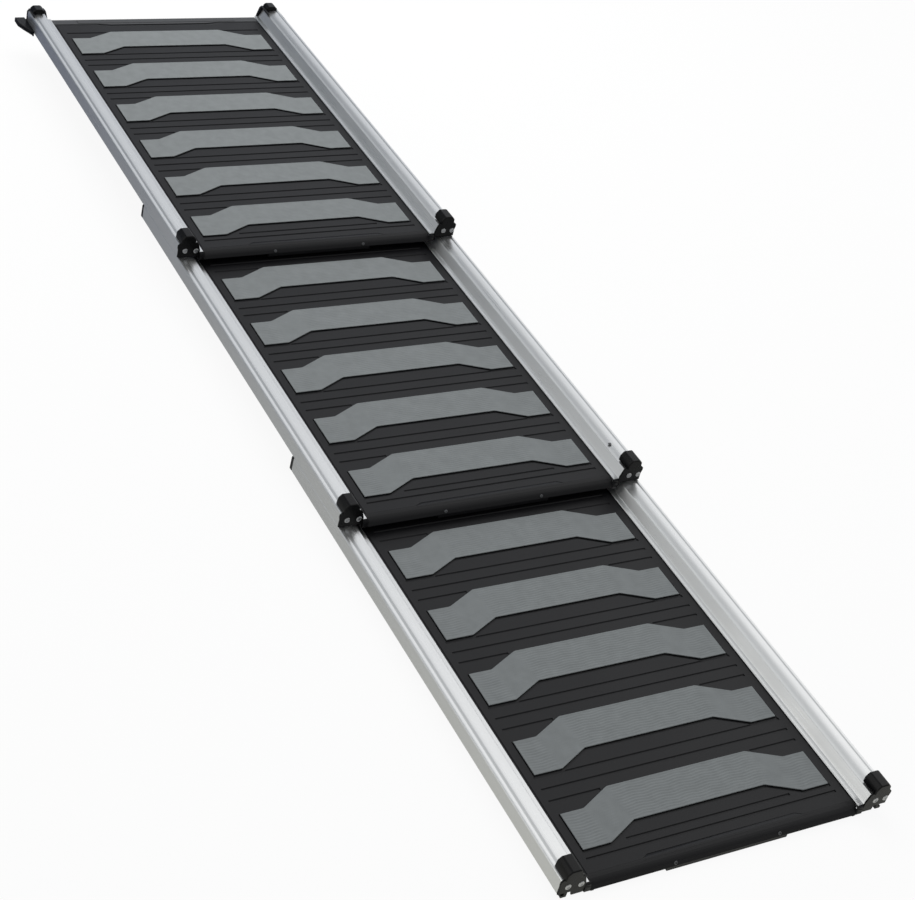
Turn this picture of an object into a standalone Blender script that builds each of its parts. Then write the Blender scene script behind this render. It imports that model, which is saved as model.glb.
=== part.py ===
# Telescoping dog ramp, fully extended: three equal sections stacked one above the other.
# X runs across the ramp, Y along it towards the vehicle end, Z up. Lengths below are in millimetres.
# A section is drawn with Y 0 at the near side of its first tread and Z 0 at the bottom of its rails.
import math

import bmesh
import bpy
from mathutils import Matrix

MM = 0.001

# Layout of the three sections
SECTIONS = ("lower", "middle", "upper")
STAGE = 544.0  # step between neighbouring sections when extended
STACK = 20.4  # rise from one section to the next
Y_CENTRE = 847.25  # section Y that lands on the object's origin
LIFT = 10.0  # the front lip reaches this far below the lower rails

# Rail extrusion
RAIL_Y = (-38.0, 635.8)
RAIL_OUT = 214.9
RAIL_TOP = 19.8
RAIL_EDGE = 3.0  # bevel on the outer top edge
RIDGE_IN = 207.4
UNDERCUT = 210.6
GROOVE_IN = 202.4
GROOVE_FLOOR = 12.4
WALL = 1.8
LEDGE_TIP = 176.5

# Deck panel and treads
DECK_Y = (-28.1, 617.0)
NEAR_NOTCH = (-24.0, 97.0, 105.0)  # the middle of the deck starts further back, with slanted steps
FAR_NOTCH = (611.9, 87.0, 117.0)
DECK_HALF = 173.4
DECK_TONGUE = 182.2
DECK_TOP = 3.5
DECK_BOTTOM = 0.7
PAD_EDGE = 0.3  # a pad reaches this far past its tread
TREADS = 6
TREAD_PITCH = 104.5
TREAD_DEPTH = 48.8
TREAD_HALF = 161.8
TREAD_STEP = 19.7  # how far the middle of a tread is set forward
NEAR_BENDS = (86.7, 127.1)
FAR_BENDS = (92.3, 132.7)
TREAD_Z = (4.2, 4.8)
PAD_TOP = 3.9
POCKET_FLOOR = 2.5
POCKET_GAP = (3.8, 1.6, 0.8)  # in front of a tread, beside it and behind it
GROOVE_WIDTH = 3.6
GROOVE_DEPTH = 1.1
SIDE_GROOVE = 67.8  # distances from a tread's near edge
BAND_GROOVE = 84.3
EDGE_GROOVE = 100.7
GROOVE_HALF = 164.6
SIDE_GROOVE_IN = 100.0  # the grooves beside a tread end here, short of its middle
FIRST_GROOVES = ((-11.3, GROOVE_HALF), (0.1, 108.0))  # place and half length of the two at the near end
RIB_DEPTH = 8.0
RIB_WIDTH = 3.0
RIB_HALF = 168.0
END_RIBS = (-21.6, 602.0)
RIB_LEAD = 0.2  # a cross rib lies this part of the pitch before its tread
LONG_RIBS = (-112, 0, 112)
LONG_RIB_Y = (-20.5, 604.0)

# End fittings
END_HALF = 176.0  # half width of the front lip and of the rear trim
LIP_FRONT = -41.5
LIP_DEEP_HALF = 79.0
LIP_WEBS = (-150, -75, 0, 75, 150)
CAP_FRONT = -40.4
CAP_BACK = -18.2
SLIDER_Y = (624.0, 641.0)
FAR_END = 641.5
TRIM_Y = (617.3, 641.0)
PANEL_HALF = 136.0  # half width of the raised panel on the trim
STOP_Y = (48.0, 79.7)
CLEAR = 0.3
TAB_OUT = 231.5

MATERIALS = {
    "aluminium": ((0.78, 0.79, 0.79), 0.32, 1.0),
    "black_plastic": ((0.032, 0.032, 0.034), 0.45, 0.0),
    "grey_plastic": ((0.13, 0.132, 0.136), 0.5, 0.0),
    "tread_rubber": ((0.235, 0.24, 0.245), 0.8, 0.0),
    "nylon": ((0.055, 0.055, 0.058), 0.55, 0.0),
}

for old in list(bpy.data.objects):
    bpy.data.objects.remove(old)

rampCollection = bpy.data.collections.new("telescoping_dog_ramp")
bpy.context.scene.collection.children.link(rampCollection)
benchCollection = bpy.data.collections.new("bench")
bpy.context.scene.collection.children.link(benchCollection)
benchCollection.hide_render = True


def makeMaterial(name, colour, roughness, metallic):
    material = bpy.data.materials.new(name)
    material.use_nodes = True
    shader = material.node_tree.nodes["Principled BSDF"]
    shader.inputs["Base Color"].default_value = (*colour, 1.0)
    shader.inputs["Roughness"].default_value = roughness
    shader.inputs["Metallic"].default_value = metallic
    return material


materials = {name: makeMaterial(name, *values) for name, values in MATERIALS.items()}


def toBench(data):
    piece = bpy.data.objects.new("bench_piece", data)
    piece.display_type = "WIRE"
    benchCollection.objects.link(piece)
    return piece


def readOff(piece):
    """The mesh that a bench piece evaluates to, with the piece itself taken off the bench."""
    bpy.context.view_layer.update()
    graph = bpy.context.evaluated_depsgraph_get()
    mesh = bpy.data.meshes.new_from_object(piece.evaluated_get(graph))
    bpy.data.objects.remove(piece)
    return mesh


def prism(outline, axis, low, high):
    """A closed outline drawn across the axis and extruded from low to high along it."""
    curve = bpy.data.curves.new("outline", "CURVE")
    curve.dimensions = "2D"
    curve.fill_mode = "BOTH"
    curve.extrude = (high - low) / 2 * MM
    spline = curve.splines.new("POLY")
    spline.points.add(len(outline) - 1)
    for point, (u, v) in zip(spline.points, outline):
        point.co = (u * MM, v * MM, 0, 1)
    spline.use_cyclic_u = True
    mesh = readOff(toBench(curve))
    middle = (low + high) / 2 * MM
    turn = {
        "X": Matrix(((0, 0, 1, middle), (1, 0, 0, 0), (0, 1, 0, 0), (0, 0, 0, 1))),
        "Y": Matrix(((1, 0, 0, 0), (0, 0, -1, middle), (0, 1, 0, 0), (0, 0, 0, 1))),
        "Z": Matrix.Translation((0, 0, middle)),
    }[axis]
    mesh.transform(turn)
    return tidy(mesh)


def tidy(mesh):
    """Weld the seams, turn the faces outward and drop edges that lie inside a flat face."""
    work = bmesh.new()
    work.from_mesh(mesh)
    bmesh.ops.remove_doubles(work, verts=work.verts, dist=0.000002)
    bmesh.ops.dissolve_limit(work, angle_limit=math.radians(0.05), verts=work.verts, edges=work.edges)
    bmesh.ops.recalc_face_normals(work, faces=work.faces)
    work.to_mesh(mesh)
    work.free()
    return mesh


def merged(meshes):
    """Several separate meshes as one, for use as one operand."""
    work = bmesh.new()
    for mesh in meshes:
        work.from_mesh(mesh)
    both = bpy.data.meshes.new("operands")
    work.to_mesh(both)
    work.free()
    return both


def combine(mesh, operation, operands):
    """Union with, or difference from, each of the operands in turn."""
    piece = toBench(mesh)
    helpers = [toBench(operand) for operand in operands]
    for helper in helpers:
        step = piece.modifiers.new(operation.lower(), "BOOLEAN")
        step.operation = operation
        step.solver = "EXACT"
        step.object = helper
    result = readOff(piece)
    for helper in helpers:
        bpy.data.objects.remove(helper)
    return tidy(result)


def softened(mesh, width, segments=1, angle=40):
    """Bevelled edges; with more than one segment they come out round."""
    piece = toBench(mesh)
    bevel = piece.modifiers.new("edges", "BEVEL")
    bevel.width = width * MM
    bevel.segments = segments
    bevel.limit_method = "ANGLE"
    bevel.angle_limit = math.radians(angle)
    bevel.miter_outer = "MITER_SHARP"
    return readOff(piece)


def rounded(mesh, angle=32):
    """Smooth shading, with the edges above an angle kept sharp."""
    mesh.polygons.foreach_set("use_smooth", [True] * len(mesh.polygons))
    mesh.set_sharp_from_angle(angle=math.radians(angle))
    return mesh


def sided(outline, side):
    return [(x * side, other) for x, other in outline]


def bentPath(offset, bends, half, step=TREAD_STEP):
    """The line that a tread's edge follows, from left to right, at an offset along the ramp."""
    inner, outer = bends
    return [
        (-half, offset), (-outer, offset), (-inner, offset + step),
        (inner, offset + step), (outer, offset), (half, offset),
    ]


def band(near, far):
    return near + far[::-1]


# Rail: one extrusion with a slot for the deck, an undercut groove on top and an open track below
def railMesh(side):
    profile = [
        (RAIL_OUT, 0), (RAIL_OUT, RAIL_TOP - RAIL_EDGE), (RAIL_OUT - 0.5, RAIL_TOP - 1.4),
        (RAIL_OUT - 1.5, RAIL_TOP - 0.4), (RAIL_OUT - RAIL_EDGE, RAIL_TOP),
        (RIDGE_IN, RAIL_TOP), (RIDGE_IN, RAIL_TOP - 2.0),
        (UNDERCUT, RAIL_TOP - 2.0), (UNDERCUT, GROOVE_FLOOR), (GROOVE_IN, GROOVE_FLOOR),
        (GROOVE_IN, RAIL_TOP), (187.8, RAIL_TOP), (187.2, RAIL_TOP - 0.6),
        (184.6, 6.2), (183.4, 5.0), (LEDGE_TIP, 5.0), (LEDGE_TIP, 3.8), (182.8, 3.8),
        (182.8, 1.2), (LEDGE_TIP, 1.2), (LEDGE_TIP, 0), (186.2, 0), (186.2, 5.4),
        (189.0, 18.0), (GROOVE_IN - WALL, 18.0), (GROOVE_IN - WALL, GROOVE_FLOOR - 1.3),
        (RAIL_OUT - WALL, GROOVE_FLOOR - 1.3), (RAIL_OUT - WALL, 0),
    ]
    return prism(sided(profile, side), "Y", *RAIL_Y)


# Deck: moulded panel with straight grooves, a raised pad in a pocket for each tread, ribs below
def grooveCut(line, low, high):
    top, half = DECK_TOP + 2, GROOVE_WIDTH / 2
    slope = half * (1 + 2 / GROOVE_DEPTH * 0.45)
    across = [
        (line - slope, top), (line - half * 0.45, DECK_TOP - GROOVE_DEPTH),
        (line + half * 0.45, DECK_TOP - GROOVE_DEPTH), (line + slope, top),
    ]
    return prism(across, "X", low, high)


def deckMesh():
    edge = [
        (DECK_HALF - 1.2, DECK_BOTTOM), (DECK_HALF, 1.5), (DECK_TONGUE, 1.6), (DECK_TONGUE, 2.8),
        (DECK_HALF, 2.9), (DECK_HALF, DECK_TOP),
    ]
    across = edge + sided(edge, -1)[::-1]
    panel = prism(across, "Y", *DECK_Y)
    front, beside, behind = POCKET_GAP
    pockets, grooves, pads = [], [], []
    for index in range(TREADS):
        start = index * TREAD_PITCH
        near = bentPath(start - front, NEAR_BENDS, TREAD_HALF + beside)
        far = bentPath(start + TREAD_DEPTH + behind, FAR_BENDS, TREAD_HALF + beside)
        pockets.append(prism(band(near, far), "Z", POCKET_FLOOR, DECK_TOP + 2))
        near = bentPath(start - PAD_EDGE, NEAR_BENDS, TREAD_HALF + PAD_EDGE)
        far = bentPath(start + TREAD_DEPTH + PAD_EDGE, FAR_BENDS, TREAD_HALF + PAD_EDGE)
        pads.append(prism(band(near, far), "Z", POCKET_FLOOR - 0.9, PAD_TOP))
        for low, high in ((-GROOVE_HALF, -SIDE_GROOVE_IN), (SIDE_GROOVE_IN, GROOVE_HALF)):
            grooves.append(grooveCut(start + SIDE_GROOVE, low, high))
        if index < TREADS - 1:
            grooves.append(grooveCut(start + BAND_GROOVE, -GROOVE_HALF, GROOVE_HALF))
            grooves.append(grooveCut(start + EDGE_GROOVE, -GROOVE_HALF, GROOVE_HALF))
    for line, half in FIRST_GROOVES:
        grooves.append(grooveCut(line, -half, half))
    ends = []
    for (line, inner, outer), edge, way in ((NEAR_NOTCH, DECK_Y[0], -1), (FAR_NOTCH, DECK_Y[1], 1)):
        notch = [(inner, line), (outer, edge - 0.2 * way), (outer, edge + 12 * way)]
        ends.append(prism(notch + sided(notch, -1)[::-1], "Z", -2, DECK_TOP + 2))
    panel = combine(panel, "DIFFERENCE", [merged(pockets), merged(grooves), merged(ends)])
    ribs = [merged(pads)]
    crossing = [(-RIB_HALF, -RIB_DEPTH), (RIB_HALF, -RIB_DEPTH), (RIB_HALF, 1.4), (-RIB_HALF, 1.4)]
    for line in (*END_RIBS, *((index - RIB_LEAD) * TREAD_PITCH for index in range(1, TREADS))):
        ribs.append(prism(crossing, "Y", line, line + RIB_WIDTH))
    for x in LONG_RIBS:
        run = [
            (x - RIB_WIDTH / 2, -RIB_DEPTH + 2), (x + RIB_WIDTH / 2, -RIB_DEPTH + 2),
            (x + RIB_WIDTH / 2, 1.5), (x - RIB_WIDTH / 2, 1.5),
        ]
        ribs.append(prism(run, "Y", *LONG_RIB_Y))
    return combine(panel, "UNION", ribs)


def treadMesh():
    near = bentPath(0, NEAR_BENDS, TREAD_HALF)
    far = bentPath(TREAD_DEPTH, FAR_BENDS, TREAD_HALF)
    return softened(prism(band(near, far), "Z", *TREAD_Z), 0.25)


# Front lip: a bullnose that drops to the section below, deeper in the middle, with a cheek at each end
def lipMesh():
    start = DECK_Y[0] - 0.3
    nose = [
        (start, 3.4), (-31.0, 3.1), (-33.4, 2.4), (-35.6, 1.3), (-37.5, -0.1), (-39.1, -1.8),
        (-40.4, -3.8), (-41.2, -5.0), (LIP_FRONT, -6.0), (LIP_FRONT + 3, -6.0), (-38.2, -4.4),
        (-36.4, -2.4), (-34.2, -0.7), (-31.6, 0.4), (start, 0.8),
    ]
    line, inner, outer = NEAR_NOTCH
    tongue = [(inner - 0.4, line - 0.3), (outer - 0.4, start - 0.1), (outer - 0.4, -30.6)]
    tongue += sided(tongue, -1)[::-1]
    skirt = [(LIP_FRONT, -5.2), (LIP_FRONT, -LIFT), (LIP_FRONT + 3, -LIFT), (LIP_FRONT + 3, -5.2)]
    cheek = [
        (LIP_FRONT + 0.1, -6.1), (-38.4, -6.1), (-38.4, 4.9), (-39.2, 4.9), (-40.5, 3.0), (-41.2, 0.0),
        (LIP_FRONT + 0.1, -3.0),
    ]
    low, high = LIP_FRONT + 0.2, LIP_FRONT + 2.8
    foot = [(low, -5.0), (low, -7.4), (high, -7.4), (high, -5.0)]
    parts = [prism(skirt, "X", -LIP_DEEP_HALF, LIP_DEEP_HALF), prism(tongue, "Z", 0.9, 3.3)]
    for side in (-1, 1):
        low, high = sorted((side * 175.2, side * 182.5))
        parts.append(prism(cheek, "X", low, high))
        low, high = sorted((side * 170.0, side * 173.6))
        parts.append(prism(foot, "X", low, high))
    web = [(-38.9, -5.7), (-31.0, -3.0), (-28.9, -1.5), (-28.9, 1.4), (-33.0, 1.2), (-38.6, -2.6)]
    for x in LIP_WEBS:
        parts.append(prism(web, "X", x - RIB_WIDTH / 2, x + RIB_WIDTH / 2))
    return rounded(combine(prism(nose, "X", -END_HALF, END_HALF), "UNION", parts))


# The two kinds of block on a rail: the high one at the near end, the slider at the far end
HIGH_BLOCK = [(190.6, 26.4), (195.2, 33.0), (206.8, 33.0), (211.3, 28.0)]
SLIDER_BLOCK = [(191.4, 24.2), (195.0, 27.5), (206.6, 27.5), (210.4, 23.8)]
PLUG = [(190.6, 4.6), (199.8, 4.6), (199.8, 17.4), (192.4, 17.4)]
PLUG_REACH = 22.0  # a near cap's plug ends here inside the rail
BLOCK_BOTTOM = 20.2
BLOCK_EDGE = 1.8


def blockMesh(outline, side, low, high):
    foot = BLOCK_BOTTOM - 5
    outline = [(outline[0][0] - 0.2, foot), *outline, (outline[-1][0] + 1.2, foot)]
    block = softened(prism(sided(outline, side), "Y", low, high), BLOCK_EDGE, 3)
    below = [(180, foot - 4), (180, BLOCK_BOTTOM), (220, BLOCK_BOTTOM), (220, foot - 4)]
    return combine(block, "DIFFERENCE", [prism(sided(below, side), "Y", low - 2, high + 2)])


# Near cap: end plate with a shoulder, block, plug inside the rail, and the hook for the groove below
def nearCapMesh(side, grounded):
    plate = [
        (215.2, -CLEAR), (215.2, 11.0), (216.3, 15.0), (216.3, 18.8), (213.4, 21.6), (188.0, 21.6),
        (186.2, 19.3), (182.9, 9.0), (182.9, -5.9), (185.6, -5.9), (185.6, -CLEAR),
    ]
    hook = [(203.1, -6.8), (209.9, -6.8), (209.9, -3.6), (206.8, -3.6), (206.8, 1.5), (203.1, 1.5)]
    web = [(203.0, -6.7), (209.8, -6.7), (209.8, -3.7), (206.7, -3.7), (206.7, -CLEAR), (203.0, -CLEAR)]
    body = softened(prism(sided(plate, side), "Y", CAP_FRONT, -38.3), 0.5)
    parts = [
        blockMesh(HIGH_BLOCK, side, LIP_FRONT + 0.3, CAP_BACK),
        prism(sided(PLUG, side), "Y", CAP_FRONT + 1, PLUG_REACH),
        prism(sided(hook, side), "Y", CAP_FRONT + 0.2, -38.7),
        prism(sided(web, side), "Y", -39.5, -14.5),
    ]
    if grounded:
        foot = [(184.8, 1.0), (184.8, -5.8), (197.4, -5.8), (198.6, 1.0)]
        parts.append(prism(sided(foot, side), "Y", CAP_FRONT + 0.1, -38.6))
    return rounded(combine(body, "UNION", parts))


# Far cap: end plate that stands proud of the rail's inner wall, plug, slider and the prong beside it
def farCapMesh(side, withTab):
    plate = [
        (RAIL_OUT, 0), (RAIL_OUT, RAIL_TOP - 2.4), (RAIL_OUT - 2.4, RAIL_TOP + CLEAR), (212.3, 21.3),
        (188.1, 21.3), (187.5, RAIL_TOP + CLEAR), (185.8, 18.6), (181.6, 4.0), (181.6, 0),
    ]
    prong = [(212.7, 636.9), (212.7, 614.4), (211.6, 612.0), (206.2, 619.0), (206.2, 638.0)]
    if side > 0:
        prong = [(187.7, 637.1), (187.7, 611.6), (188.8, 609.0), (193.0, 613.6), (193.0, 638.1)]
    parts = [
        blockMesh(SLIDER_BLOCK, side, *SLIDER_Y),
        prism(sided(PLUG, side), "Y", 620.0, FAR_END - 1),
        prism(sided(prong, side), "Z", 20.1, 22.1),
    ]
    if withTab:
        inner = RAIL_OUT + 0.4
        flange = [
            (inner, 598), (inner + 2, 598), (inner + 2, 641), (RAIL_OUT - 6, 641), (RAIL_OUT - 6, 638),
            (inner, 638),
        ]
        tab = [
            (inner + 0.4, 600), (inner + 3.5, 601.5), (TAB_OUT - 4.5, 619), (TAB_OUT, 631), (TAB_OUT, 648),
            (inner + 0.4, 648),
        ]
        parts.append(prism(sided(flange, side), "Z", -4.5, 3.5))
        parts.append(softened(prism(sided(tab, side), "Z", -4.1, 3.1), 0.8))
    return rounded(combine(prism(sided(plate, side), "Y", RAIL_Y[1] + CLEAR, FAR_END), "UNION", parts))


# Rear trim: a low border along the deck, a raised panel on it and a rounded far edge
def trimMesh():
    low, high = TRIM_Y
    across = [
        (low, 2.3), (low + 1.8, 2.3), (low + 2.8, 3.9), (low + 9, 4.2), (low + 15, 3.9),
        (low + 18.5, 3.0), (low + 21.3, 1.5), (low + 22.9, -0.5), (high, -2.6), (high, -6.0),
        (high - 3, -6.0), (high - 3, -2.8), (high - 4.8, -0.9), (high - 8.5, 0.5), (low + 11, 0.9),
        (low, 1.0),
    ]
    line, inner, outer = FAR_NOTCH
    tongue = [(inner - 0.4, line + 0.3), (outer - 0.4, low + 0.2), (outer - 0.4, low + 1.4)]
    tongue += sided(tongue, -1)[::-1]
    wide = [(inner - 4.4, line + 4.6), (outer - 6.0, low + 3.4), (outer - 6.0, low + 6.0)]
    wide += sided(wide, -1)[::-1]
    panel = [(low + 3.4, 3.5), (low + 4.6, 4.8), (low + 14.4, 4.8), (low + 17.2, 3.2)]
    parts = [
        prism(tongue, "Z", 1.1, 2.2), prism(wide, "Z", 1.3, 4.0),
        softened(prism(panel, "X", -PANEL_HALF, PANEL_HALF), 0.4),
    ]
    return rounded(combine(prism(across, "X", -END_HALF, END_HALF), "UNION", parts))


def stopMesh(side):
    across = [(190.0, 2.6), (199.6, 2.6), (199.6, 9.6), (191.2, 9.6)]
    return softened(prism(sided(across, side), "Y", *STOP_Y), 0.8)


def place(name, mesh, material, frame, y=0.0):
    if not mesh.materials:
        mesh.materials.append(materials[material])
    piece = bpy.data.objects.new(name, mesh)
    rampCollection.objects.link(piece)
    piece.parent = frame
    piece.location = (0, y * MM, 0)


sideNames = {-1: "left", 1: "right"}
rails = {side: railMesh(side) for side in sideNames}
nearCaps = {side: nearCapMesh(side, False) for side in sideNames}
groundCaps = {side: nearCapMesh(side, True) for side in sideNames}
farCaps = {side: farCapMesh(side, False) for side in sideNames}
tabCaps = {side: farCapMesh(side, True) for side in sideNames}
stops = {side: stopMesh(side) for side in sideNames}
deck, tread, lip, trim = deckMesh(), treadMesh(), lipMesh(), trimMesh()

for index, section in enumerate(SECTIONS):
    frame = bpy.data.objects.new(section + "_frame", None)
    rampCollection.objects.link(frame)
    frame.location = (0, (index * STAGE - Y_CENTRE) * MM, (index * STACK + LIFT) * MM)
    for side, word in sideNames.items():
        place(f"{section}_rail_{word}", rails[side], "aluminium", frame)
        fronts = groundCaps if section == "lower" else nearCaps
        place(f"{section}_near_cap_{word}", fronts[side], "black_plastic", frame)
        ends = tabCaps if section == "upper" else farCaps
        place(f"{section}_far_cap_{word}", ends[side], "black_plastic", frame)
        if section != "lower":
            place(f"{section}_stop_{word}", stops[side], "nylon", frame)
    place(section + "_deck", deck, "black_plastic", frame)
    place(section + "_front_lip", lip, "black_plastic", frame)
    place(section + "_rear_trim", trim, "grey_plastic", frame)
    for number in range(TREADS):
        place(f"{section}_tread_{number + 1}", tread, "tread_rubber", frame, number * TREAD_PITCH)

bpy.data.collections.remove(benchCollection)
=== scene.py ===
# Telescoping dog ramp, fully extended: finishes, ribbed treads, small hardware, studio and camera.
import bpy
import bmesh
import math
from mathutils import Matrix, Vector


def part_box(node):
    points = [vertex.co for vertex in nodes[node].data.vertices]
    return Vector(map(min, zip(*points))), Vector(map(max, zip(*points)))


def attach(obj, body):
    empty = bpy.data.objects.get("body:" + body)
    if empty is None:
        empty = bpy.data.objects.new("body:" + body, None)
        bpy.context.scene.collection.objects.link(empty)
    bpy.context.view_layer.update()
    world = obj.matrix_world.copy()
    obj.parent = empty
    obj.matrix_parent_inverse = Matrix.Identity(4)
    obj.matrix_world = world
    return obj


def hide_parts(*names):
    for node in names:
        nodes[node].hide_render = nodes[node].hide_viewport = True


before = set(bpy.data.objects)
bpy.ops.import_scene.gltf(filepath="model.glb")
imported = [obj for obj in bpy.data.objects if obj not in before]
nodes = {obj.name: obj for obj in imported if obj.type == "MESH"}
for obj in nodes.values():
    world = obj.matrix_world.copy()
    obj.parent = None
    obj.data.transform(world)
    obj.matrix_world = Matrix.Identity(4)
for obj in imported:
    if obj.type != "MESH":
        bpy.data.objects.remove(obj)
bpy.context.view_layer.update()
scene = bpy.context.scene
mm = 0.001

sections = ("lower", "middle", "upper")
railStart = -38.0  # a section's own Y runs from the near side of its first tread, and its rails start here
weld = 0.000002  # metres: points closer than this are one


# A point given in a section's own millimetres, in metres of the shared frame
def sectionPoint(section, x, y, z):
    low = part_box(section + "_rail_left")[0]
    return Vector((x * mm, low.y + (y - railStart) * mm, low.z + z * mm))


def linearFromHex(code):
    values = [int(code[i:i + 2], 16) / 255 for i in (1, 3, 5)]
    return tuple(v / 12.92 if v <= 0.04045 else ((v + 0.055) / 1.055) ** 2.4 for v in values) + (1.0,)


# Adds a node: settings are its own properties, inputs are plain values or the output socket of another node
def addNode(tree, kind, settings=None, inputs=None):
    node = tree.nodes.new(kind)
    for name, value in (settings or {}).items():
        setattr(node, name, value)
    for name, value in (inputs or {}).items():
        if isinstance(value, bpy.types.NodeSocket):
            tree.links.new(value, node.inputs[name])
        else:
            node.inputs[name].default_value = value
    return node


def maths(tree, operation, *operands):
    return addNode(tree, "ShaderNodeMath", {"operation": operation}, dict(enumerate(operands))).outputs[0]


def mapped(tree, value, low, high, toLow, toHigh):
    limits = {"Value": value, "From Min": low, "From Max": high, "To Min": toLow, "To Max": toHigh}
    return addNode(tree, "ShaderNodeMapRange", None, limits).outputs["Result"]


# Finishes
def newMaterial(name):
    material = bpy.data.materials.new(name)
    material.use_nodes = True
    return material, material.node_tree, material.node_tree.nodes["Principled BSDF"]


def setShader(shader, **values):
    for name, value in values.items():
        shader.inputs[name.replace("_", " ")].default_value = value


# Noise on the piece's own coordinates, which a stretch can draw out along an axis
def noise(tree, scale, detail, roughness=0.5, stretch=None):
    place = addNode(tree, "ShaderNodeTexCoord").outputs["Object"]
    if stretch:
        place = addNode(tree, "ShaderNodeMapping", None, {"Vector": place, "Scale": stretch}).outputs[0]
    inputs = {"Vector": place, "Scale": scale, "Detail": detail, "Roughness": roughness}
    return addNode(tree, "ShaderNodeTexNoise", None, inputs).outputs["Fac"]


def addBump(tree, shader, height, strength, depth):
    inputs = {"Strength": strength, "Distance": depth * mm, "Height": height}
    bump = addNode(tree, "ShaderNodeBump", None, inputs)
    tree.links.new(bump.outputs["Normal"], shader.inputs["Normal"])


def blended(tree, share, first, second):
    inputs = {0: share, 6: first, 7: second}
    return addNode(tree, "ShaderNodeMix", {"data_type": "RGBA"}, inputs).outputs[2]


aluminiumLook = {
    "colour": "#E6E7E7",
    "metallic": 0.95,  # the clear oxide scatters the rest
    "roughness": 0.31,
    "spread": 0.4,  # how far the die lines smear a highlight across the rail
    "dieLine": 0.7,  # mm between the lines that the die leaves
    "handling": 22.0,  # mm, size of the faint dull patches from handling
}


# Extruded 6063 aluminium, clear anodised: satin, with lines along the extrusion that smear what it mirrors
def extrudedAluminium():
    material, tree, shader = newMaterial("extrudedAnodisedAluminium")
    look = aluminiumLook
    setShader(shader, Base_Color=linearFromHex(look["colour"]), Metallic=look["metallic"], IOR=1.5)
    setShader(shader, Anisotropic=look["spread"], Anisotropic_Rotation=0.0)
    across = 1 / mm / look["dieLine"]
    lines = noise(tree, 1.0, 4.0, 0.6, (across, 1.5, across))
    patches = noise(tree, 1 / mm / look["handling"], 3.0, 0.5, (1.0, 0.3, 1.0))
    mixed = maths(tree, "MULTIPLY_ADD", patches, 0.3, maths(tree, "MULTIPLY", lines, 0.7))
    rough = mapped(tree, mixed, 0.35, 0.65, look["roughness"] - 0.05, look["roughness"] + 0.07)
    tree.links.new(rough, shader.inputs["Roughness"])
    tangent = addNode(tree, "ShaderNodeTangent", {"direction_type": "UV_MAP", "uv_map": "profile"})
    tree.links.new(tangent.outputs[0], shader.inputs["Tangent"])
    addBump(tree, shader, lines, 0.2, 0.04)
    return material


# Injection moulded plastic with the fine spark-eroded grain of its mould
def mouldedPlastic(name, colour, roughness, gloss, grain, depth):
    material, tree, shader = newMaterial(name)
    setShader(shader, Base_Color=linearFromHex(colour), IOR=1.53, Specular_IOR_Level=gloss)
    cells = noise(tree, 1 / mm / grain, 3.0, 0.6)
    cloud = noise(tree, 9.0, 2.0)
    mixed = maths(tree, "MULTIPLY_ADD", cloud, 0.35, cells)
    rough = mapped(tree, mixed, 0.4, 0.95, roughness - 0.06, roughness + 0.08)
    tree.links.new(rough, shader.inputs["Roughness"])
    addBump(tree, shader, cells, 0.35, depth)
    return material


rubberLook = {"colour": "#767A7B", "roughness": 0.74, "gloss": 0.4, "grain": 0.5, "mottle": 14.0}


# Thermoplastic rubber: dull grey, with a fine grain and a slight mottle
def mouldedRubber():
    look = rubberLook
    material, tree, shader = newMaterial("mouldedGreyRubber")
    setShader(shader, Roughness=look["roughness"], IOR=1.5, Specular_IOR_Level=look["gloss"])
    shade = mapped(tree, noise(tree, 1 / mm / look["mottle"], 4.0), 0.3, 0.7, 0.93, 1.05)
    inputs = {0: linearFromHex(look["colour"])[:3], "Scale": shade}
    tint = addNode(tree, "ShaderNodeVectorMath", {"operation": "SCALE"}, inputs)
    tree.links.new(tint.outputs[0], shader.inputs["Base Color"])
    addBump(tree, shader, noise(tree, 1 / mm / look["grain"], 2.0), 0.4, 0.05)
    return material


# Plated or blackened steel, with a slightly uneven finish
def finishedSteel(name, colour, roughness):
    material, tree, shader = newMaterial(name)
    setShader(shader, Base_Color=linearFromHex(colour), Metallic=1.0)
    rough = mapped(tree, noise(tree, 900.0, 3.0), 0.3, 0.7, roughness - 0.07, roughness + 0.07)
    tree.links.new(rough, shader.inputs["Roughness"])
    return material


aluminium = extrudedAluminium()
deckPlastic = mouldedPlastic("mouldedBlackAbs", "#151517", 0.42, 0.24, 0.9, 0.05)
capPlastic = mouldedPlastic("mouldedBlackNylon", "#070708", 0.27, 0.22, 0.6, 0.04)
trimPlastic = mouldedPlastic("mouldedGreyAbs", "#3A3B3D", 0.5, 0.4, 0.9, 0.05)
rubber = mouldedRubber()
steel = finishedSteel("zincPlatedSteel", "#C4C5C6", 0.27)
darkSteel = finishedSteel("blackenedSteel", "#6A6B6D", 0.36)

for name, node in nodes.items():
    if "_rail_" in name:
        finish = aluminium
    elif "_tread_" in name:
        finish = rubber
    elif "_cap_" in name or "_stop_" in name:
        finish = capPlastic
    elif "_rear_trim" in name:
        finish = trimPlastic
    else:
        finish = deckPlastic
    for slot in node.material_slots:
        slot.material = finish
print("finishes are on the model")


# Pieces
def newObject(name, mesh):
    piece = bpy.data.objects.new(name, mesh)
    scene.collection.objects.link(piece)
    return piece


def evaluated(piece):
    bpy.context.view_layer.update()
    graph = bpy.context.evaluated_depsgraph_get()
    mesh = bpy.data.meshes.new_from_object(piece.evaluated_get(graph))
    piece.modifiers.clear()
    return mesh


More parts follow.
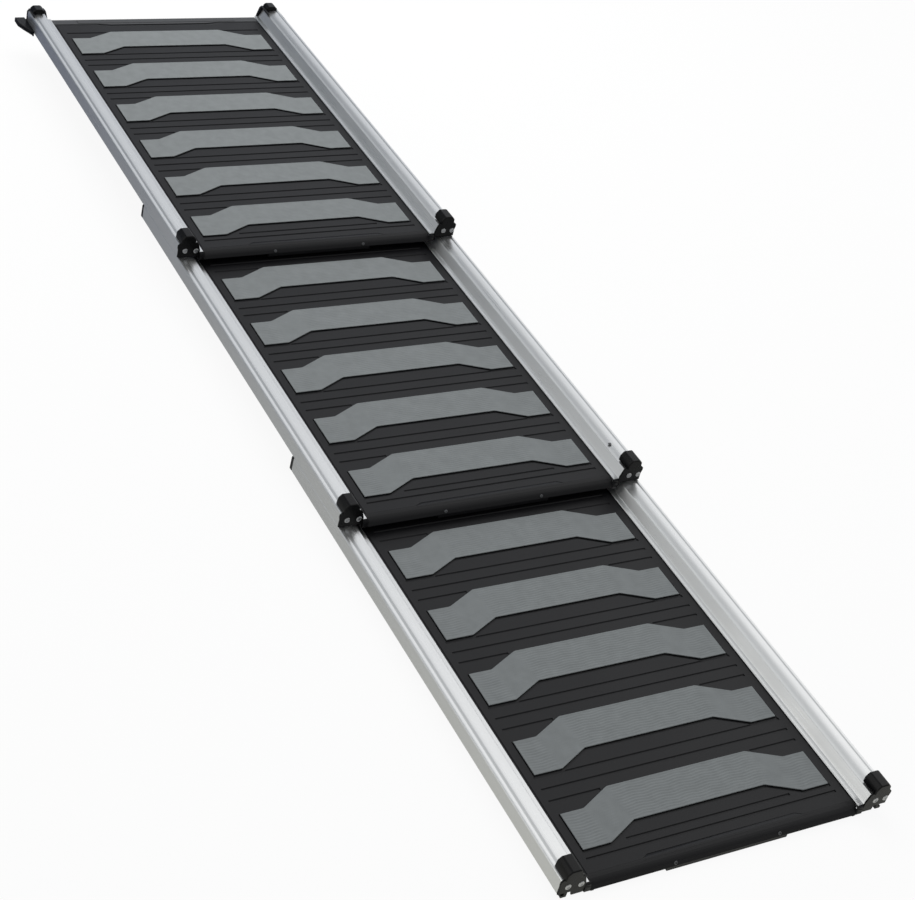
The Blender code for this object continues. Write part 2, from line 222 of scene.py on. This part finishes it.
# Takes the evaluated shape as a plain mesh: welded, turned outward, smooth up to an angle, flat faces flat
def settled(piece, angle=35):
    mesh = evaluated(piece)
    work = bmesh.new()
    work.from_mesh(mesh)
    bmesh.ops.remove_doubles(work, verts=work.verts, dist=weld)
    bmesh.ops.recalc_face_normals(work, faces=work.faces)
    work.to_mesh(mesh)
    work.free()
    mesh.polygons.foreach_set("use_smooth", [True] * len(mesh.polygons))
    mesh.set_sharp_from_angle(angle=math.radians(angle))
    piece.data = mesh
    flat = piece.modifiers.new("flatFaces", "WEIGHTED_NORMAL")
    flat.keep_sharp = True
    piece.data = evaluated(piece)


# A small radius on each edge that is sharper than the look's angle
def soften(piece, look, clamp=True):
    edge = piece.modifiers.new("edges", "BEVEL")
    edge.width = look["width"] * mm
    edge.segments = look["segments"]
    edge.limit_method = "ANGLE"
    edge.angle_limit = math.radians(look["angle"])
    edge.use_clamp_overlap = clamp


# The small radius that the die gives each edge, in mm and degrees
railEdge = {"width": 0.3, "segments": 2, "angle": 24}

# Section of a rail, |X| and Z in mm: outer wall, ridge, dip, top, shoulder, inner wall, ledge, open track.
# The plain rail has an open track at the dip. This one closes it, so the hooks above lie inside the metal.
railProfile = [
    (214.9, 0.0), (214.9, 17.8), (214.6, 18.8), (214.0, 19.5), (213.2, 19.8), (211.4, 19.8),
    (210.6, 19.6), (209.9, 19.3), (209.2, 19.1), (208.4, 19.15), (207.2, 19.4), (206.0, 19.7),
    (205.0, 19.8), (203.0, 19.8), (201.0, 19.65), (199.0, 19.32), (197.0, 18.85), (195.0, 18.25),
    (193.2, 17.75), (191.6, 17.4), (190.3, 17.2), (189.6, 16.7), (184.2, 5.9), (183.4, 5.0),
    (178.0, 5.0), (177.0, 4.7), (176.5, 4.2), (176.5, 3.8), (182.8, 3.8), (182.8, 1.2),
    (176.5, 1.2), (176.5, 0.0), (186.2, 0.0), (186.2, 5.4), (190.9, 16.2), (193.5, 16.7),
    (197.0, 17.6), (200.6, 18.0), (200.6, 11.1), (213.1, 11.1), (213.1, 0.0),
]


# Writes the map that the die lines follow: U across the face, V along the rail
def mapProfile(mesh):
    layer = mesh.uv_layers.new(name="profile")
    for face in mesh.polygons:
        upright = abs(face.normal.x) > abs(face.normal.z)
        for corner in face.loop_indices:
            point = mesh.vertices[mesh.loops[corner].vertex_index].co
            layer.data[corner].uv = (point.z if upright else point.x, point.y)


# A rail with its sloped inner wall, soft shoulder and dip, in the place of the plain one
def makeRail(section, side):
    node = f"{section}_rail_{side}"
    low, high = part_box(node)
    out = -mm if side == "left" else mm
    work = bmesh.new()
    near = [work.verts.new((x * out, low.y, low.z + z * mm)) for x, z in railProfile]
    far = [work.verts.new((x * out, high.y, low.z + z * mm)) for x, z in railProfile]
    work.faces.new(near)
    work.faces.new(far[::-1])
    for corner in range(len(near)):
        work.faces.new((near[corner], near[corner - 1], far[corner - 1], far[corner]))
    mesh = bpy.data.meshes.new(node + "_profile")
    work.to_mesh(mesh)
    work.free()
    piece = newObject(node + "_profile", mesh)
    soften(piece, railEdge, clamp=False)
    settled(piece)
    mapProfile(piece.data)
    piece.data.materials.clear()
    piece.data.materials.append(aluminium)
    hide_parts(node)
    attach(piece, section + "_section")


for section in sections:
    for side in ("left", "right"):
        makeRail(section, side)
print("rails are rounded")

lipSeat = {"back": 10.0, "shift": 0.28}  # mm: what lies this far behind a lip's front closes up to the deck


capEdge = {"width": 0.45, "segments": 2, "angle": 38, "flat": 0.5}  # faces within the last angle are one


# A moulding in black plastic that takes the place of the plain, faceted one
def placeMoulding(piece, node, section):
    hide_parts(node)
    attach(piece, section + "_section")


def makeLip(section):
    node = section + "_front_lip"
    mesh = nodes[node].data.copy()
    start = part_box(node)[0].y + lipSeat["back"] * mm
    for vertex in mesh.vertices:
        if vertex.co.y > start:
            vertex.co.y += lipSeat["shift"] * mm
    piece = newObject(node + "_moulding", mesh)
    settled(piece, 30)
    placeMoulding(piece, node, section)


# A cap with the small radius that its mould gives each edge
def makeCap(section, place):
    node = f"{section}_{place}"
    work = bmesh.new()
    work.from_mesh(nodes[node].data)
    bmesh.ops.remove_doubles(work, verts=work.verts, dist=weld)
    flatWithin = math.radians(capEdge["flat"])
    bmesh.ops.dissolve_limit(work, angle_limit=flatWithin, verts=work.verts, edges=work.edges)
    mesh = nodes[node].data.copy()
    work.to_mesh(mesh)
    work.free()
    piece = newObject(node + "_moulding", mesh)
    soften(piece, capEdge)
    settled(piece, 40)
    placeMoulding(piece, node, section)


# The lips are pressed home, so that no light comes through the joint with the deck
for section in sections:
    makeLip(section)
    for place in ("near_cap_left", "near_cap_right", "far_cap_left", "far_cap_right"):
        makeCap(section, place)
print("lips and caps are smooth")


# Geometry Nodes
def newTree(name, inputs):
    tree = bpy.data.node_groups.new(name, "GeometryNodeTree")
    tree.interface.new_socket("Geometry", in_out="INPUT", socket_type="NodeSocketGeometry")
    for label, (kind, value) in inputs.items():
        socket = tree.interface.new_socket(label, in_out="INPUT", socket_type="NodeSocket" + kind)
        if value is not None:
            socket.default_value = value
    tree.interface.new_socket("Geometry", in_out="OUTPUT", socket_type="NodeSocketGeometry")
    return tree, tree.nodes.new("NodeGroupInput").outputs


def combined(tree, **parts):
    return addNode(tree, "ShaderNodeCombineXYZ", None, parts).outputs[0]


def closeTree(tree, geometry, material):
    plain = addNode(tree, "GeometryNodeRealizeInstances", None, {"Geometry": geometry})
    inputs = {"Geometry": plain.outputs[0], "Material": material}
    painted = addNode(tree, "GeometryNodeSetMaterial", None, inputs)
    addNode(tree, "NodeGroupOutput", None, {"Geometry": painted.outputs[0]})


# Puts a tree on a piece and sets its inputs by the sockets' identifiers
def grow(piece, tree, values):
    step = piece.modifiers.new(tree.name, "NODES")
    step.node_group = tree
    for socket in tree.interface.items_tree:
        if socket.in_out == "INPUT" and socket.name in values:
            step[socket.identifier] = values[socket.name]


treadLook = {
    "count": 6,
    "pitch": 104.5,  # mm from tread to tread
    "depth": 48.8,
    "nearBends": (86.7, 127.1),  # |X| where the near edge bends, inner and outer
    "farBends": (92.3, 132.7),
    "ribPitch": 3.6,
    "ribHeight": 0.38,
    "waveHeight": 0.7,  # the ribs wander this far to each side
    "waveLength": 31.0,
    "border": 1.7,  # flat rim round the ribs
    "columns": 120,
    "rows": 54,
}
treadEdge = {"width": 0.22, "segments": 2, "angle": 60}


def treadTree():
    tree, given = newTree("ribbedTread", {
        "Count": ("Int", 6), "Pitch": ("Float", 0.1), "Half Width": ("Float", 0.16),
        "Depth": ("Float", 0.05), "Step": ("Float", 0.02),
        "Near Inner": ("Float", 0.09), "Near Outer": ("Float", 0.13),
        "Far Inner": ("Float", 0.09), "Far Outer": ("Float", 0.13), "Rib Pitch": ("Float", 0.0036),
        "Rib Height": ("Float", 0.0003), "Wave Height": ("Float", 0.0007), "Wave Length": ("Float", 0.03),
        "Border": ("Float", 0.0017), "Thickness": ("Float", 0.0006), "Columns": ("Int", 120),
        "Rows": ("Int", 54), "Material": ("Material", None),
    })
    width = maths(tree, "MULTIPLY", given["Half Width"], 2.0)
    size = {"Size X": width, "Size Y": 1.0, "Vertices X": given["Columns"], "Vertices Y": given["Rows"]}
    grid = addNode(tree, "GeometryNodeMeshGrid", None, size)
    position = addNode(tree, "GeometryNodeInputPosition").outputs[0]
    split = addNode(tree, "ShaderNodeSeparateXYZ", None, {0: position})
    side = maths(tree, "ABSOLUTE", split.outputs["X"])
    share = maths(tree, "ADD", split.outputs["Y"], 0.5)
    near = mapped(tree, side, given["Near Outer"], given["Near Inner"], 0.0, given["Step"])
    farStep = mapped(tree, side, given["Far Outer"], given["Far Inner"], 0.0, given["Step"])
    far = maths(tree, "ADD", farStep, given["Depth"])
    along = maths(tree, "MULTIPLY_ADD", share, maths(tree, "SUBTRACT", far, near), near)
    angle = maths(tree, "MULTIPLY", split.outputs["X"], math.tau)
    turn = maths(tree, "DIVIDE", angle, given["Wave Length"])
    wander = maths(tree, "MULTIPLY", maths(tree, "SINE", turn), given["Wave Height"])
    wave = maths(tree, "MULTIPLY", maths(tree, "ADD", along, wander), math.tau)
    rib = maths(tree, "SINE", maths(tree, "DIVIDE", wave, given["Rib Pitch"]))
    valley = maths(tree, "MULTIPLY_ADD", rib, 0.5, 0.5)
    fromFar = maths(tree, "SUBTRACT", far, along)
    fromEnds = maths(tree, "MINIMUM", maths(tree, "SUBTRACT", along, near), fromFar)
    inside = maths(tree, "MINIMUM", fromEnds, maths(tree, "SUBTRACT", given["Half Width"], side))
    border = maths(tree, "MULTIPLY", given["Border"], 1.5)
    mask = mapped(tree, inside, given["Border"], border, 0.0, 1.0)
    sunk = maths(tree, "MULTIPLY", maths(tree, "MULTIPLY", valley, mask), given["Rib Height"])
    place = combined(tree, X=split.outputs["X"], Y=along, Z=maths(tree, "MULTIPLY", sunk, -1.0))
    inputs = {"Geometry": grid.outputs["Mesh"], "Position": place}
    top = addNode(tree, "GeometryNodeSetPosition", None, inputs)
    faces = addNode(tree, "GeometryNodeInputMeshEdgeNeighbors")
    settings = {"data_type": "INT", "operation": "EQUAL"}
    rim = addNode(tree, "FunctionNodeCompare", settings, {2: faces.outputs[0], 3: 1})
    drop = combined(tree, Z=maths(tree, "MULTIPLY", given["Thickness"], -1.0))
    inputs = {"Mesh": top.outputs[0], "Selection": rim.outputs[0], "Offset": drop, "Offset Scale": 1.0}
    skirt = addNode(tree, "GeometryNodeExtrudeMesh", {"mode": "EDGES"}, inputs)
    inputs = {"Mesh": skirt.outputs["Mesh"], "Selection": skirt.outputs["Top"]}
    loop = addNode(tree, "GeometryNodeMeshToCurve", None, inputs)
    base = addNode(tree, "GeometryNodeFillCurve", {"mode": "NGONS"}, {"Curve": loop.outputs[0]})
    lowered = addNode(tree, "GeometryNodeSetPosition", None, {"Geometry": base.outputs[0], "Offset": drop})
    whole = addNode(tree, "GeometryNodeJoinGeometry", None, {0: skirt.outputs["Mesh"]})
    tree.links.new(lowered.outputs[0], whole.inputs[0])
    inputs = {"Geometry": whole.outputs[0], "Distance": 0.000004}
    welded = addNode(tree, "GeometryNodeMergeByDistance", None, inputs)
    inputs = {"Count": given["Count"], "Offset": combined(tree, Y=given["Pitch"])}
    row = addNode(tree, "GeometryNodeMeshLine", None, inputs)
    inputs = {"Points": row.outputs[0], "Instance": welded.outputs[0]}
    treads = addNode(tree, "GeometryNodeInstanceOnPoints", None, inputs)
    closeTree(tree, treads.outputs[0], given["Material"])
    return tree


# The six treads of a section as one piece, in the places of the plain ones
def makeTreads(section, tree):
    look = treadLook
    members = [f"{section}_tread_{number + 1}" for number in range(look["count"])]
    low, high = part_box(members[0])
    piece = newObject(section + "_ribbed_treads", bpy.data.meshes.new(section + "_ribbed_treads"))
    grow(piece, tree, {
        "Count": look["count"], "Pitch": look["pitch"] * mm, "Half Width": high.x,
        "Depth": look["depth"] * mm, "Step": high.y - low.y - look["depth"] * mm,
        "Near Inner": look["nearBends"][0] * mm,
        "Near Outer": look["nearBends"][1] * mm, "Far Inner": look["farBends"][0] * mm,
        "Far Outer": look["farBends"][1] * mm, "Rib Pitch": look["ribPitch"] * mm,
        "Rib Height": look["ribHeight"] * mm, "Wave Height": look["waveHeight"] * mm,
        "Wave Length": look["waveLength"] * mm, "Border": look["border"] * mm, "Thickness": high.z - low.z,
        "Columns": look["columns"] + 1, "Rows": look["rows"] + 1, "Material": rubber,
    })
    soften(piece, treadEdge)
    settled(piece)
    piece.data.transform(Matrix.Translation((0, low.y, high.z)))
    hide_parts(*members)
    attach(piece, section + "_section")


ribbedTread = treadTree()
for section in sections:
    makeTreads(section, ribbedTread)
print("treads are ribbed")


screwLook = {
    "capHead": (7.4, 1.0, 3.6),  # mm: head width, head height and key width
    "lipHead": (4.4, 0.9, 2.2),
    "rivetHead": (4.6, 0.8, 1.8),
    "lift": 0.42,  # share of its height by which a head's middle stands off the surface
    "capFront": -40.4,  # section Y of the near caps' end plates
    "capPlaces": {"left": ((-205.1, 9.4), (-189.1, 8.3)), "right": ((196.8, 9.5), (210.9, 9.2))},
    "lipPlaces": (-68.5, 68.5),
    "lipSpot": (-39.75, -2.8),  # section Y and Z where a lip screw sits, and its face looks that way
    "lipFacing": (0.0, -0.84, 0.54),
    "rivetSpot": (195.7, 12.1, 19.8),
}


# A domed head with a six-sided key hole, set on every point of the mesh and turned to the point's "facing"
def headTree():
    tree, given = newTree("screwHead", {
        "Width": ("Float", 0.007), "Height": ("Float", 0.001), "Key": ("Float", 0.003),
        "Material": ("Material", None),
    })
    radius = maths(tree, "MULTIPLY", given["Width"], 0.5)
    inputs = {"Vertices": 32, "Side Segments": 6, "Radius": radius, "Depth": given["Height"]}
    drum = addNode(tree, "GeometryNodeMeshCylinder", None, inputs)
    position = addNode(tree, "GeometryNodeInputPosition").outputs[0]
    split = addNode(tree, "ShaderNodeSeparateXYZ", None, {0: position})
    rise = maths(tree, "ADD", maths(tree, "DIVIDE", split.outputs["Z"], given["Height"]), 0.5)
    fall = maths(tree, "MULTIPLY", maths(tree, "POWER", rise, 3.0), 0.6)
    dome = maths(tree, "SQRT", maths(tree, "SUBTRACT", 1.0, fall))
    domeX = maths(tree, "MULTIPLY", split.outputs["X"], dome)
    domeY = maths(tree, "MULTIPLY", split.outputs["Y"], dome)
    place = combined(tree, X=domeX, Y=domeY, Z=split.outputs["Z"])
    inputs = {"Geometry": drum.outputs["Mesh"], "Position": place}
    domed = addNode(tree, "GeometryNodeSetPosition", None, inputs)
    keyRadius = maths(tree, "MULTIPLY", given["Key"], 0.5)
    inputs = {"Vertices": 6, "Radius": keyRadius, "Depth": given["Height"]}
    key = addNode(tree, "GeometryNodeMeshCylinder", None, inputs)
    lift = combined(tree, Z=maths(tree, "MULTIPLY", given["Height"], 0.4))
    inputs = {"Geometry": key.outputs["Mesh"], "Translation": lift}
    raised = addNode(tree, "GeometryNodeTransform", None, inputs)
    inputs = {"Mesh 1": domed.outputs[0], "Mesh 2": raised.outputs[0]}
    head = addNode(tree, "GeometryNodeMeshBoolean", {"operation": "DIFFERENCE"}, inputs)
    settings = {"data_type": "FLOAT_VECTOR"}
    facing = addNode(tree, "GeometryNodeInputNamedAttribute", settings, {"Name": "facing"})
    inputs = {"Vector": facing.outputs["Attribute"]}
    turned = addNode(tree, "FunctionNodeAlignRotationToVector", {"axis": "Z"}, inputs)
    inputs = {"Points": given["Geometry"], "Instance": head.outputs[0], "Rotation": turned.outputs[0]}
    heads = addNode(tree, "GeometryNodeInstanceOnPoints", None, inputs)
    closeTree(tree, heads.outputs[0], given["Material"])
    return tree


# One piece of screw heads: each spot is a centre and the way that the head looks
def makeHeads(name, tree, spots, sizes, finish, body):
    width, height, key = (size * mm for size in sizes)
    points = bpy.data.meshes.new(name)
    lift = height * screwLook["lift"]
    points.from_pydata([centre + Vector(way).normalized() * lift for centre, way in spots], [], [])
    facing = points.attributes.new("facing", "FLOAT_VECTOR", "POINT")
    for value, (centre, way) in zip(facing.data, spots):
        value.vector = way
    piece = newObject(name, points)
    grow(piece, tree, {"Width": width, "Height": height, "Key": key, "Material": finish})
    settled(piece, 40)
    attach(piece, body)


screwHead = headTree()
for section in sections:
    body = section + "_section"
    spots = []
    for side, places in screwLook["capPlaces"].items():
        for x, z in places:
            spots.append((sectionPoint(section, x, screwLook["capFront"], z), (0, -1, 0)))
    makeHeads(section + "_cap_screws", screwHead, spots, screwLook["capHead"], steel, body)
    y, z = screwLook["lipSpot"]
    spots = [(sectionPoint(section, x, y, z), screwLook["lipFacing"]) for x in screwLook["lipPlaces"]]
    makeHeads(section + "_lip_screws", screwHead, spots, screwLook["lipHead"], darkSteel, body)
spots = [(sectionPoint("middle", *screwLook["rivetSpot"]), (0, 0, 1))]
makeHeads("middle_rail_rivet", screwHead, spots, screwLook["rivetHead"], darkSteel, "middle_section")
print("screws are in")


cameraFit = {
    "place": (-1.15048, -1.77992, 1.43998),
    "azimuth": -36.7675,
    "elevation": 36.2446,
    "roll": 15.6654,
    "focal": 1884.17,  # in pixels of a picture 915 wide
}


def makeCamera():
    data = bpy.data.cameras.new("camera")
    data.sensor_width = 36
    data.lens = cameraFit["focal"] / 915 * data.sensor_width
    data.clip_end = 50
    azimuth, elevation, roll = (math.radians(cameraFit[key]) for key in ("azimuth", "elevation", "roll"))
    flat = math.cos(elevation)
    back = Vector((math.sin(azimuth) * flat, -math.cos(azimuth) * flat, math.sin(elevation)))
    level = Vector((0, 0, 1)).cross(back).normalized()
    upright = back.cross(level)
    right = math.cos(roll) * level + math.sin(roll) * upright
    up = math.cos(roll) * upright - math.sin(roll) * level
    camera = newObject("camera", data)
    turn = Matrix((right, up, back)).transposed().to_4x4()
    camera.matrix_world = Matrix.Translation(cameraFit["place"]) @ turn
    scene.camera = camera


makeCamera()

studio = {
    "floorSize": 14.0,
    "floorDrop": -0.0005,  # keeps the floor clear of the lip that stands on it
    "floorGrey": "#E4E4E4",
    "whiteShare": 0.92,  # how much of the floor's white is its own; the rest takes light and shadow
    "paintedFalloffNear": "#C4C4BE",  # painted shade: what metal mirrors of the floor, in front and behind, falls from pale to dark blue-grey
    "paintedFalloffFar": "#38435C",
    "paintedFalloffRange": (-0.9, 1.0),  # Y where that painted fall-off begins and ends
    "skyRight": "#FFFFFF",  # the lit side of the room
    "skyTop": "#B8BABB",
    "skyLeft": "#FAFAF8",
    "skyFront": "#8A8B8C",
    "skyBackRight": "#BCC0C7",
    "skyBackTop": "#515964",
    "skySeen": (0.87, 0.87, 0.87, 1.0),  # what the camera itself sees above the floor
    "skyStrength": 1.12,
}
lamp = {"size": (2.0, 2.0), "power": 40, "place": (0.2, 1.5, 1.8), "target": (0, 0.5, 0)}


# Floor: white for the camera, with the shadow kept; metal sees it glow with a painted fall-off of light,
# pale in front and dark blue-grey behind the ramp
def makeFloor():
    work = bmesh.new()
    bmesh.ops.create_grid(work, x_segments=4, y_segments=4, size=studio["floorSize"] / 2)
    mesh = bpy.data.meshes.new("floor")
    work.to_mesh(mesh)
    work.free()
    floor = newObject("floor", mesh)
    floor.location.z = studio["floorDrop"]
    material, tree, shader = newMaterial("studioPaper")
    setShader(shader, Base_Color=linearFromHex(studio["floorGrey"]), Roughness=0.9, Specular_IOR_Level=0.1)
    place = addNode(tree, "ShaderNodeTexCoord")
    split = addNode(tree, "ShaderNodeSeparateXYZ", None, {0: place.outputs["Object"]})
    # painted shade: the floor's glow, as metal mirrors it, darkens to blue-grey towards the back
    along = mapped(tree, split.outputs["Y"], *studio["paintedFalloffRange"], 0.0, 1.0)
    fall = blended(tree, along, linearFromHex(studio["paintedFalloffNear"]), linearFromHex(studio["paintedFalloffFar"]))
    path = addNode(tree, "ShaderNodeLightPath")
    seen = blended(tree, path.outputs["Is Camera Ray"], fall, (1, 1, 1, 1))
    glow = addNode(tree, "ShaderNodeEmission", None, {"Color": seen, "Strength": 1.0})
    direct = maths(tree, "MAXIMUM", path.outputs["Is Camera Ray"], path.outputs["Is Glossy Ray"])
    share = maths(tree, "MULTIPLY", direct, studio["whiteShare"])
    inputs = {"Fac": share, 1: shader.outputs[0], 2: glow.outputs[0]}
    mix = addNode(tree, "ShaderNodeMixShader", None, inputs)
    tree.links.new(mix.outputs[0], tree.nodes["Material Output"].inputs["Surface"])
    mesh.materials.append(material)


# Sky: a room lit from both sides, dimmer overhead, darker behind the ramp and in front of it
def makeSky():
    world = bpy.data.worlds.new("studioSky")
    scene.world = world
    world.use_nodes = True
    tree = world.node_tree
    back = tree.nodes["Background"]
    names = ("skyRight", "skyTop", "skyLeft", "skyFront", "skyBackRight", "skyBackTop")
    tone = {name: linearFromHex(studio[name]) for name in names}
    way = addNode(tree, "ShaderNodeTexCoord")
    split = addNode(tree, "ShaderNodeSeparateXYZ", None, {0: way.outputs["Generated"]})
    height = maths(tree, "MAXIMUM", maths(tree, "ABSOLUTE", split.outputs["Z"]), 0.05)
    lean = maths(tree, "DIVIDE", split.outputs["X"], height)
    rightward = mapped(tree, lean, 0.2, 0.6, 0.0, 1.0)
    leftFall = mapped(tree, split.outputs["Y"], 0.42, 0.78, 1.0, 0.0)
    leftward = maths(tree, "MULTIPLY", mapped(tree, lean, -0.4, -1.1, 0.0, 1.0), leftFall)
    behind = mapped(tree, split.outputs["Y"], 0.45, 0.86, 0.0, 1.0)
    front = mapped(tree, split.outputs["Y"], -0.15, -0.6, 0.0, 1.0)
    near = blended(tree, rightward, tone["skyTop"], tone["skyRight"])
    near = blended(tree, leftward, near, tone["skyLeft"])
    rear = blended(tree, rightward, tone["skyBackTop"], tone["skyBackRight"])
    tint = blended(tree, behind, near, rear)
    tint = blended(tree, front, tint, tone["skyFront"])
    path = addNode(tree, "ShaderNodeLightPath")
    seen = blended(tree, path.outputs["Is Camera Ray"], tint, studio["skySeen"])
    tree.links.new(seen, back.inputs["Color"])
    back.inputs["Strength"].default_value = studio["skyStrength"]


# One soft box above, for the shadow and the plastic
def makeLamp():
    data = bpy.data.lights.new("topBox", "AREA")
    data.shape = "RECTANGLE"
    data.size, data.size_y = lamp["size"]
    data.energy = lamp["power"]
    box = newObject("topBox", data)
    box.visible_glossy = False  # the sky alone is what metal mirrors
    box.location = lamp["place"]
    aim = Vector(lamp["target"]) - Vector(lamp["place"])
    box.rotation_euler = aim.to_track_quat("-Z", "Y").to_euler()


makeFloor()
makeSky()
makeLamp()
scene.view_settings.view_transform = "Standard"
print("studio is ready")
